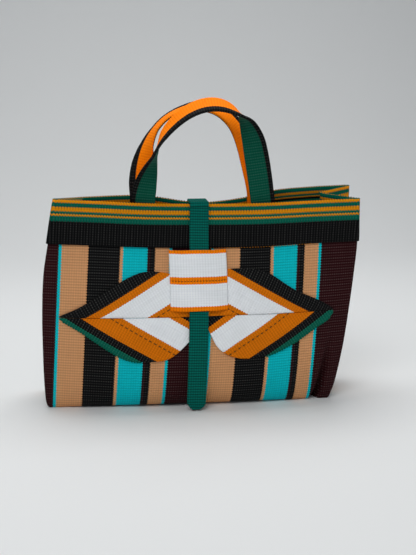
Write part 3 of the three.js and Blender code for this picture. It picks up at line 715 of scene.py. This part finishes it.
def beads(name, points, finish, spacing, size):
    """A row of beads along a line through points, with all its sizes in millimetres"""
    line = bpy.data.meshes.new("line")
    line.from_pydata(((points + MOVE) * MM).tolist(), [(k, k + 1) for k in range(len(points) - 1)], [])
    shape = grown(line, BEADS, Spacing=spacing * MM, Size=tuple(v * MM for v in size), Finish=finish)
    piece(name, shape, [finish])
    print(name, len(shape.polygons), "faces")


print("trees:", RIBS.name, "and", BEADS.name)

# %% [markdown]
# ## Webbing
# A strap is a flat section that is carried along a path. Its section has round edges, and its cloth
# coordinates run round the section and along the path. The ribs are real, because they show on the outline of
# the handles.

# %% Webbing along a path
def webbing_section(width, thickness):
    """Points round a flat section with round edges, starting in the middle of the first edge"""
    half, r = width / 2 - thickness / 2, thickness / 2
    flat = np.linspace(half, -half, 12)
    arcs = np.linspace(0, math.pi / 2, 4)
    first = [(half + r * math.cos(a), r * math.sin(a)) for a in arcs[:-1]]
    face = [(w, r) for w in flat]
    edge = [(-half - r * math.sin(a), r * math.cos(a)) for a in np.linspace(0, math.pi, 7)[1:-1]]
    back = [(w, -r) for w in flat[::-1]]
    last = [(half + r * math.cos(a), -r * math.sin(a)) for a in arcs[1:-1][::-1]]
    return np.array(first + face + edge + back + last)


def smooth_path(points, step):
    """Even points on a smooth curve through the given ones"""
    p = np.asarray(points, float)
    ext = np.concatenate([[2 * p[0] - p[1]], p, [2 * p[-1] - p[-2]]])
    out = []
    for a, b, c, d in zip(ext[:-3], ext[1:-2], ext[2:-1], ext[3:]):
        t = np.linspace(0, 1, 24, endpoint=False)[:, None]
        cubic = (2 * b) + (c - a) * t + (2 * a - 5 * b + 4 * c - d) * t**2 + (3 * b - a - 3 * c + d) * t**3
        out.append(0.5 * cubic)
    fine = np.concatenate(out + [p[-1:]])
    reach = np.concatenate([[0], np.cumsum(np.linalg.norm(np.diff(fine, axis=0), axis=1))])
    count = int(round(reach[-1] / step))
    even_reach = np.linspace(0, reach[-1], count + 1)
    return np.stack([np.interp(even_reach, reach, fine[:, k]) for k in range(3)], 1), even_reach


def webbing(name, path, reach, across, width, thickness, taper=None):
    """A flat strap along a path. across gives its direction from edge to edge at each point."""
    along = np.gradient(path, axis=0)
    along /= np.linalg.norm(along, axis=1, keepdims=True)
    across = across - along * (across * along).sum(1, keepdims=True)
    across /= np.linalg.norm(across, axis=1, keepdims=True)
    through = np.cross(along, across)
    section = webbing_section(width, thickness)
    w, t = section[:, 0], section[:, 1]
    narrow = np.ones(len(path)) if taper is None else taper
    grid = path[:, None] + across[:, None] * (w[:, None] * narrow[:, None, None])
    grid = grid + through[:, None] * t[:, None]
    loop = np.concatenate([section, section[:1]])
    round_way = np.concatenate([[0], np.cumsum(np.linalg.norm(np.diff(loop, axis=0), axis=1))])
    u = np.repeat(round_way[None], len(path), 0)
    v = np.repeat(reach[:, None], len(round_way), 1)
    mesh = cloth_mesh(name, grid, u, v, closed=True)
    count = len(w)
    ends = [list(range(count))[::-1], [len(path) * count - count + k for k in range(count)]]
    return close_ends(mesh, ends)


def close_ends(mesh, rings):
    """Fills open rings of a mesh, keeping its cloth coordinates"""
    shape = bmesh.new()
    shape.from_mesh(mesh)
    shape.verts.ensure_lookup_table()
    for ring in rings:
        shape.faces.new([shape.verts[k] for k in ring])
    shape.to_mesh(mesh)
    shape.free()
    return mesh


# %% [markdown]
# ## Handles
# Each handle is one length of webbing, orange on one face and green on the other, with a black border along
# one edge. It leaves the bag flat against the rim, turns edge-on as it rises and arches over, so both faces
# show. A table holds the arch and the turn of the webbing.

# %% Handles
HANDLE_WIDTH, HANDLE_THICKNESS, HANDLE_SPAN, HANDLE_OFFSET = 25, 2.6, 124, 3.5
HANDLE_RISE, HANDLE_TUCK, HANDLE_STAND, ARCH_TILT = 100, 36, 7.75, 31
HANDLE_RIB = 2.8
# each row: share of the span, share of the rise, lean, turn in degrees, share of the tilt
FRONT_ARCH = [
    (-0.5, 0, 0, 0, 1), (-0.485, 0.14, 0.1, 14, 1), (-0.455, 0.29, 0.25, 34, 1), (-0.405, 0.47, 0.45, 64, 1),
    (-0.325, 0.69, 0.7, 84, 1), (-0.2, 0.86, 0.9, 90, 1), (-0.06, 0.965, 1, 92, 1), (0.08, 1, 1, 95, 1),
    (0.21, 0.965, 0.95, 104, 1), (0.33, 0.86, 0.8, 126, 1), (0.4, 0.68, 0.6, 148, 1),
    (0.435, 0.5, 0.4, 164, 1), (0.465, 0.3, 0.2, 174, 1), (0.485, 0.14, 0.1, 178, 1), (0.5, 0, 0, 180, 1),
]
BACK_ARCH = [
    (-0.5, 0, 0, 0, 0), (-0.505, 0.16, 0.1, 10, 0), (-0.488, 0.34, 0.25, 32, 0), (-0.45, 0.53, 0.5, 64, 0),
    (-0.38, 0.69, 0.75, 82, 0.05), (-0.27, 0.82, 0.95, 88, 0.15), (-0.11, 0.905, 1, 91, 0.4),
    (0.04, 0.925, 1, 94, 0.8), (0.17, 0.88, 0.95, 102, 1.1), (0.29, 0.75, 0.75, 118, 1.1),
    (0.375, 0.56, 0.5, 140, 1), (0.435, 0.35, 0.25, 160, 0.7), (0.48, 0.15, 0.1, 173, 0.3),
    (0.5, 0, 0, 180, 0),
]


def handle(name, side, arch):
    rim_of = front_rim if side < 0 else back_rim
    left, right = corners(1.0)[:2]
    legs = []
    for end in (-1, 1):
        x = HANDLE_OFFSET + end * HANDLE_SPAN / 2
        top = float(rim_of((x - left) / (right - left)))
        inside = CLOTH + GAP + HANDLE_THICKNESS / 2
        leg = []
        for down in (HANDLE_TUCK, HANDLE_TUCK / 2, 0):
            faces = stand(side, np.array([-0.5, 0, 0.5]) * HANDLE_WIDTH + x, np.full(3, top - down), -inside)
            leg.append((x, faces.max() if side < 0 else faces.min(), top - down))
        legs.append(leg if end < 0 else leg[::-1])
    foot_a, foot_b = np.array(legs[0][2]), np.array(legs[1][0])
    middle = []
    for reach, rise, lean, _, _ in arch[1:-1]:
        foot = foot_a + (foot_b - foot_a) * (reach + 0.5)
        out = side * lean * HANDLE_STAND
        middle.append((HANDLE_OFFSET + reach * HANDLE_SPAN, foot[1] + out, foot[2] + rise * HANDLE_RISE))
    route = np.array(legs[0] + middle + legs[1], float)
    path, reach = smooth_path(route, HANDLE_RIB / 4)
    knots = np.concatenate([[0], np.cumsum(np.linalg.norm(np.diff(route, axis=0), axis=1))])
    places = reach * knots[-1] / reach[-1]
    turn = np.radians(np.interp(places, knots, [0, 0] + [row[3] for row in arch] + [180, 180]))
    tip = np.interp(places, knots, [0, 0] + [row[4] for row in arch] + [0, 0])
    tilt = side * np.sin(turn) * np.sin(np.radians(ARCH_TILT * tip))
    across = np.stack([-np.cos(turn), side * np.sin(turn), tilt], 1)
    print("webbing of the", name, "handle:", round(float(reach[-1])), "mm long")
    return webbing(name, path, reach, across, HANDLE_WIDTH, HANDLE_THICKNESS)


# the handles' green is the darker copy of green, painted shade for their downward and inward faces
HANDLE_FACES = {"front": ("deep green", 3.0, "orange", 5.6), "back": ("orange", 5.6, "deep green", 3.0)}
handle_finishes = {}
for where, (first, border_a, second, border_b) in HANDLE_FACES.items():
    stripes = [(2.0 + border_a, "black"), (24.4 - border_a, first), (1.0, "black")]
    stripes += [(23.4 - border_b, second), (2.2 + border_b, "black")]
    handle_finishes[where] = woven("handle_" + where, stripes, repeat=False, rib=HANDLE_RIB, depth=0.15,
                                   fleck_and_highlight=0.12, scallop=0.25, shade=0.3)
for name, side, arch in (("front", -1, FRONT_ARCH), ("back", 1, BACK_ARCH)):
    finish = handle_finishes[name]
    shape = grown(handle(name, side, arch), RIBS, Rib=HANDLE_RIB, Depth=0.22 * MM, Finish=finish)
    piece("bag_handle_" + name, shape, [finish], ["handle_" + name])
    print("handle", name, len(shape.polygons), "faces")

# %% [markdown]
# ## Closing strap
# A narrow green strap starts behind the back rim, crosses the mouth, bends over the front rim and hangs down
# the front to a round tip near the floor. It draws the two rims together. Its path keeps a little room from
# the cloth, where the band and the bow lie under it.

# %% Closing strap
STRAP_WIDTH, STRAP_THICKNESS, STRAP_TOP, STRAP_SLANT, STRAP_BACK = 19.4, 2.0, -1.0, 7.5, 50
STRAP_CLEAR, STRAP_BEND, STRAP_LEAD, TIP_BLUNT, BASE_ROLL, RIBBON = 1.2, 3.0, 5.0, 0.14, 30, 1.4
STRAP_RIB = 2.8
STRAP_SEAT = GAP + max(BAND_THICKNESS, RIBBON) + GAP + 0.5


def strap_route():
    half, seat = STRAP_WIDTH / 2, STRAP_SEAT + STRAP_THICKNESS / 2

    def face(side, x, z):
        faces = stand(side, x + np.array([-half, 0, half]), np.full(3, float(z)), seat)
        return faces.min() if side < 0 else faces.max()

    left, right = corners(1.0)[:2]
    s, reach = (STRAP_TOP - left) / (right - left), half / (right - left)
    rims = {}
    for side, rim in ((-1, front_rim), (1, back_rim)):
        rims[side] = max(rim(s - reach), rim(s), rim(s + reach))
    inset = (STRAP_BEND - GAP - STRAP_THICKNESS / 2) / math.sqrt(2)

    def over_rim(side):
        y = face(side, STRAP_TOP, rims[side]) - side * (STRAP_BEND - inset - min(inset, GAP))
        steps = np.radians([0, 30, 60, 90])
        return [
            (STRAP_TOP, y + side * STRAP_BEND * math.cos(a), rims[side] - inset + STRAP_BEND * math.sin(a))
            for a in steps
        ]

    route = []
    for down in (STRAP_BACK, STRAP_BACK * 2 / 3, STRAP_BACK / 3, half):
        route.append((STRAP_TOP, face(1, STRAP_TOP, rims[1] - down), rims[1] - down))
    route += over_rim(1) + over_rim(-1)[::-1]
    start = rims[-1] - STRAP_LEAD
    furthest = 0.0
    for k in range(13):
        z = start - (start - half - STRAP_CLEAR) * k / 12
        x = STRAP_TOP - STRAP_SLANT * k / 12
        furthest = min(furthest, face(-1, x, max(z, BASE_ROLL)))
        route.append((x, furthest, z))
    return np.array(route, float)


path, reach = smooth_path(strap_route(), STRAP_RIB / 4)
tip = np.arange(STRAP_RIB / 4, STRAP_WIDTH / 2, STRAP_RIB / 4)
down = (path[-1] - path[-2]) / np.linalg.norm(path[-1] - path[-2])
path = np.concatenate([path, path[-1] + tip[:, None] * down])
round_tip = np.sqrt(1 - (tip / (STRAP_WIDTH / 2)) ** 2)
taper = np.concatenate([np.ones(len(reach)), np.maximum(round_tip, TIP_BLUNT)])
reach = np.concatenate([reach, reach[-1] + tip])
across = np.repeat([[-1.0, 0.0, 0.0]], len(path), 0)
strap_cloth = woven("strap_cloth", [(100, "strap green")], rib=STRAP_RIB, depth=0.3, scallop=0.0, shade=0.8)
shape = grown(webbing("strap", path, reach, across, STRAP_WIDTH, STRAP_THICKNESS, taper), RIBS,
              Rib=STRAP_RIB, Depth=0.25 * MM, Finish=strap_cloth)
piece("bag_closing_strap", shape, [strap_cloth], ["closure_strap"])
print("strap:", round(float(reach[-1])), "mm long,", len(shape.polygons), "faces")

# %% [markdown]
# ## Bow
# The bow is one wide ribbon, folded to a point on each side so that it makes four arms. The stripes run
# parallel to the outer edge of each arm, at about 30 degrees, and meet the seam between the arms at a slant.
# So the cloth coordinates of an arm start at its tip and are turned by that angle.

# %% Arms of the bow
KNOT_CENTRE, KNOT_WIDTH, KNOT_HEIGHT, KNOT_TOP, KNOT_THICKNESS, KNOT_EASE = -4.3, 59, 59.5, 165, 1.6, 2.0
BOW_REACH, BOW_RISE, BOW_LEVEL, ARM_PUFF, PUFF_END = 142, 46, 99, 3.0, 0.72
RIBBON_RIB = 2.8
SEWN_REACH = 160  # mm along the ribbon in which a sewn line is looked for
LEFT_ARMS = Table(
    "at upper lower",
    [
        [0.000, 0.030, 0.040], [0.150, 0.240, 0.310], [0.400, 0.700, 0.830], [0.510, 0.880, 0.970],
        [0.600, 0.975, 0.990], [0.680, 0.985, 0.980], [0.740, 0.970, 0.960], [0.800, 0.930, 0.880],
        [0.850, 0.900, 0.760], [0.930, 0.860, 0.520],
    ],
)
RIGHT_ARMS = Table(
    "at upper lower",
    [
        [0.000, 0.030, 0.070], [0.040, 0.120, 0.200], [0.120, 0.260, 0.345], [0.300, 0.520, 0.690],
        [0.500, 0.920, 0.950], [0.630, 1.010, 0.990], [0.720, 1.020, 0.970], [0.800, 1.000, 0.880],
        [0.880, 0.900, 0.660], [0.945, 0.850, 0.240],
    ],
)
UPPER_STRIPES = [(12.8, "black"), (8.0, "rust"), (23.7, "white"), (35.0, "rust")]
LOWER_STRIPES = [(2.8, "green"), (8.4, "black"), (21.2, "rust"), (23.8, "white"), (6.5, "rust"),
                 (30.0, "black")]
ARMS = {
    # name: side, direction, outline, slope of its stripes in degrees, stripes, place of the sewn line
    "left_upper": (-1, 1, LEFT_ARMS, 30.3, UPPER_STRIPES, 49.5),
    "left_lower": (-1, -1, LEFT_ARMS, 30.8, LOWER_STRIPES, 26.4),
    "right_upper": (1, 1, RIGHT_ARMS, 29.5, UPPER_STRIPES, 49.5),
    "right_lower": (1, -1, RIGHT_ARMS, 33.0, LOWER_STRIPES, 26.4),
}


def arm_rise(reach, up, outline):
    """How far the edge of an arm lies from the seam, at a reach from 0 at the tip to 1 in the middle"""
    return outline("upper" if up > 0 else "lower", reach) * BOW_RISE


def arm_stand(x, z, up, outline):
    """How far the back of an arm stands off the body's cloth"""
    reach = 1 - np.abs(x - KNOT_CENTRE) / BOW_REACH
    b = np.clip((up * (z - BOW_LEVEL) - GAP / 2) / arm_rise(reach, up, outline), 0, 1)
    return GAP + ARM_PUFF * np.sin(np.pi * b) * np.sin(np.pi * np.minimum(reach / PUFF_END, 1))


def arm_sheet(name, side, up, outline, slope):
    b, reach = np.meshgrid(np.linspace(0, 1, 26), np.linspace(0, outline.data[-1, 0], 90), indexing="ij")
    x = KNOT_CENTRE + side * BOW_REACH * (1 - reach)
    z = BOW_LEVEL + up * (GAP / 2 + b * arm_rise(reach, up, outline))
    y = stand(-1, x, z, arm_stand(x, z, up, outline) + RIBBON)
    grid = np.stack([x, y, z], -1)
    if up < 0:
        grid = grid[::-1]
    if side > 0:
        grid = grid[:, ::-1]
    inwards = (KNOT_CENTRE + side * BOW_REACH - grid[..., 0]) * side
    rise = (grid[..., 2] - BOW_LEVEL) * up
    angle = math.radians(slope)
    across = inwards * math.sin(angle) - rise * math.cos(angle)
    along = inwards * math.cos(angle) + rise * math.sin(angle)
    return cloth_mesh(name, grid, across, along)


thread = woven("stitch_thread", [(10, "dark green")], rib=0.9, depth=0.05, shade=0.2)
for name, (side, up, outline, slope, stripes, sewn) in ARMS.items():
    ribbon = woven("ribbon_" + name, stripes, repeat=False, rib=RIBBON_RIB, depth=0.4, fleck_and_highlight=0.15,
                   scallop=0.35, shade=0.3)
    sheet = arm_sheet(name, side, up, outline, slope)
    arm = piece("bag_bow_" + name, sheet, [ribbon], ["bow_" + name])
    thicken(arm, RIBBON)
    # the sewn line keeps its distance from the outer edge and stays on the arm
    angle = math.radians(slope)
    a = np.linspace(0, SEWN_REACH, 400)
    inwards = a * math.cos(angle) + sewn * math.sin(angle)
    rise = a * math.sin(angle) - sewn * math.cos(angle)
    reach = inwards / BOW_REACH
    limit = arm_rise(np.clip(reach, 0, 1), up, outline)
    on_arm = (rise > 1.0) & (rise < limit - 1.5) & (reach < outline.data[-1, 0] - 0.01)
    x = KNOT_CENTRE + side * (BOW_REACH - inwards[on_arm])
    z = BOW_LEVEL + up * rise[on_arm]
    y = stand(-1, x, z, arm_stand(x, z, up, outline) + RIBBON + 0.1)
    beads("bag_bow_stitches_" + name, np.stack([x, y, z], 1), thread, 5.4, (3.9, 0.9, 0.9))
    print("arm", name, "with a sewn line of", int(on_arm.sum() * SEWN_REACH / 400), "mm")

# %% [markdown]
# ## Knot
# Two short pieces of the same ribbon lie across the middle, one above the other, and are sewn together where
# they meet. They bend back at both ends and bulge a little over the strap.

# %% Knot
HALF_KNOT = [(3.2, "orange"), (22.4, "white"), (3.2, "orange")]
KNOT_STRIPES = HALF_KNOT + [(0.4, "maroon")] + HALF_KNOT
PILLOW, SINK, END_BEND = 0.7, 0.4, 0.9  # mm: bulge of each half, how deep it lies, how far its ends bend back


def knot_height(x, z):
    low = GAP + RIBBON + GAP
    high = STRAP_SEAT + STRAP_THICKNESS + GAP * 2
    away = np.abs(x - KNOT_CENTRE)
    flat = STRAP_WIDTH / 2 + STRAP_SLANT / 2 + KNOT_EASE
    side = smoothstep(away, flat, KNOT_WIDTH / 2)
    down = (KNOT_TOP - z) / KNOT_HEIGHT
    pillow = PILLOW * np.abs(np.sin(2 * np.pi * down)) ** 0.5
    end = END_BEND * smoothstep(away, KNOT_WIDTH / 2 - 2, KNOT_WIDTH / 2)
    return high + (low - high) * side + pillow - SINK - end


z, x = np.meshgrid(np.linspace(KNOT_TOP - KNOT_HEIGHT, KNOT_TOP, 72),
                   KNOT_CENTRE + np.linspace(-0.5, 0.5, 64) * KNOT_WIDTH, indexing="ij")
grid = np.stack([x, stand(-1, x, z, knot_height(x, z) + KNOT_THICKNESS), z], -1)
knot_cloth = woven("knot_cloth", KNOT_STRIPES, repeat=False, rib=RIBBON_RIB, depth=0.25, scallop=0.2)
sheet = cloth_mesh("knot", grid, KNOT_TOP - z, x)
knot = piece("bag_bow_knot", sheet, [knot_cloth], ["bow_knot"])
thicken(knot, KNOT_THICKNESS)
print("knot:", len(knot.data.polygons), "faces")

# %% [markdown]
# ## Sewn lines and knobbly edges
# Woven cloth never ends in a clean line. Each rib makes a small knob at the edge, which shows along the rim
# of the bag and along the green edge of the ribbon. Rows of beads make these, and the seam of the knot.

# %% Edges and seams
green_edge = woven("green_edge", [(10, "green")], rib=0.8, depth=0.05, shade=0.2)
amber_edge = woven("amber_edge", [(10, "amber")], rib=0.8, depth=0.05, shade=0.2)
dark_thread = woven("dark_thread", [(10, "dark")], rib=0.8, depth=0.05, shade=0.2)


rim_ring = pushed(skin(lambda rim: rim - np.array([2.0, 1.0, 0.0])), GAP + BAND_THICKNESS / 2)[2]
front_ring = rim_ring[FRONT_FIRST - 1:FRONT_LAST + 1] + (0, 0, 0.1)
beads("bag_rim_edge_front", front_ring, amber_edge, RIB, (1.5, 1.5, 1.1))
back_ring = np.concatenate([rim_ring[FRONT_LAST:], rim_ring[:FRONT_FIRST]]) + (0, 0, 0.2)
beads("bag_rim_edge_back", back_ring, green_edge, RIB, (1.6, 1.7, 1.3))
low_ring = skin(lambda rim: rim - BAND_HEIGHT + np.array([0.0, 1.0, 2.0]))
hem = pushed(low_ring, GAP + BAND_THICKNESS * 0.7)[0, FRONT_FIRST:FRONT_LAST]
hem = hem[(hem[:, 0] > 8) & (hem[:, 0] < 114)]
beads("bag_band_hem", hem, amber_edge, RIB, (1.5, 0.9, 0.9))
for name in ("left_lower", "right_lower"):
    side, up, outline, slope = ARMS[name][:4]
    reach = np.linspace(0.03, 0.9, 300)
    inwards, rise = reach * BOW_REACH, arm_rise(reach, up, outline)
    angle = math.radians(slope)
    edged = inwards * math.sin(angle) - rise * math.cos(angle) < 2.3
    x, z = KNOT_CENTRE + side * (BOW_REACH - inwards[edged]), BOW_LEVEL - GAP / 2 - rise[edged]
    y = stand(-1, x, z, GAP + RIBBON * 0.6)
    beads("bag_bow_edge_" + name, np.stack([x, y, z], 1), green_edge, RIB, (2.7, 2.0, 2.4))
x = np.linspace(KNOT_CENTRE - KNOT_WIDTH / 2 + 3, KNOT_CENTRE + KNOT_WIDTH / 2 - 3, 60)
z = np.full(60, KNOT_TOP - KNOT_HEIGHT / 2)
seam = np.stack([x, stand(-1, x, z, knot_height(x, z) + KNOT_THICKNESS), z], 1)
beads("bag_knot_seam", seam, dark_thread, 3.1, (2.2, 0.7, 0.7))

# %% [markdown]
# ## Table and light
# A pale table that curves up into a pale wall, one wide soft light above the camera, a weaker one from the
# right and an even sky. Soft light shows the ribs without hard shadows.

# %% Table and light
def sweep():
    """Table top that curves up into the wall behind it"""
    front, bend, radius, top = -1.6, 0.7, 0.85, 3.2
    turn = np.linspace(0.08, math.pi / 2, 20)
    path = [(front, 0.0), (bend, 0.0)]
    path += [(bend + radius * math.sin(a), radius - radius * math.cos(a)) for a in turn]
    path.append((bend + radius, top))
    points = [(x, y, z) for y, z in path for x in (-2.6, 2.6)]
    faces = [(2 * k, 2 * k + 1, 2 * k + 3, 2 * k + 2) for k in range(len(path) - 1)]
    mesh = bpy.data.meshes.new("table")
    mesh.from_pydata(points, [], faces)
    mesh.shade_smooth()
    return mesh


paper = Finish("paper", 0.9)
paper.plug(paper.surface.inputs["Base Color"], (0.80, 0.81, 0.81, 1.0))
table = bpy.data.objects.new("table", sweep())
table.data.materials.append(paper.material)
bpy.context.scene.collection.objects.link(table)


def soft_light(name, place, target, size, power):
    """A wide lamp that points at a target"""
    light = bpy.data.lights.new(name, "AREA")
    light.shape, light.size, light.size_y = "RECTANGLE", size[0], size[1]
    light.energy = power
    lamp = bpy.data.objects.new(name, light)
    lamp.location = place
    x, y, z = [a - b for a, b in zip(place, target)]
    lamp.rotation_euler = (math.atan2(math.hypot(x, y), z), 0.0, math.atan2(x, -y))
    bpy.context.scene.collection.objects.link(lamp)


soft_light("key", (-0.5, -1.15, 1.55), (0.0, 0.0, 0.1), (1.1, 0.85), 12.3)
soft_light("fill", (1.3, -0.8, 0.7), (0.0, 0.0, 0.12), (0.8, 0.8), 2.2)
soft_light("top", (-0.05, 0.3, 1.3), (0.0, 0.0, 0.0), (1.1, 0.6), 10.4)
world = bpy.data.worlds.new("sky")
world.use_nodes = True
world.node_tree.nodes["Background"].inputs[0].default_value = (0.9, 0.95, 1.0, 1.0)
world.node_tree.nodes["Background"].inputs[1].default_value = 0.2
bpy.context.scene.world = world
bpy.context.scene.view_settings.view_transform = "Standard"
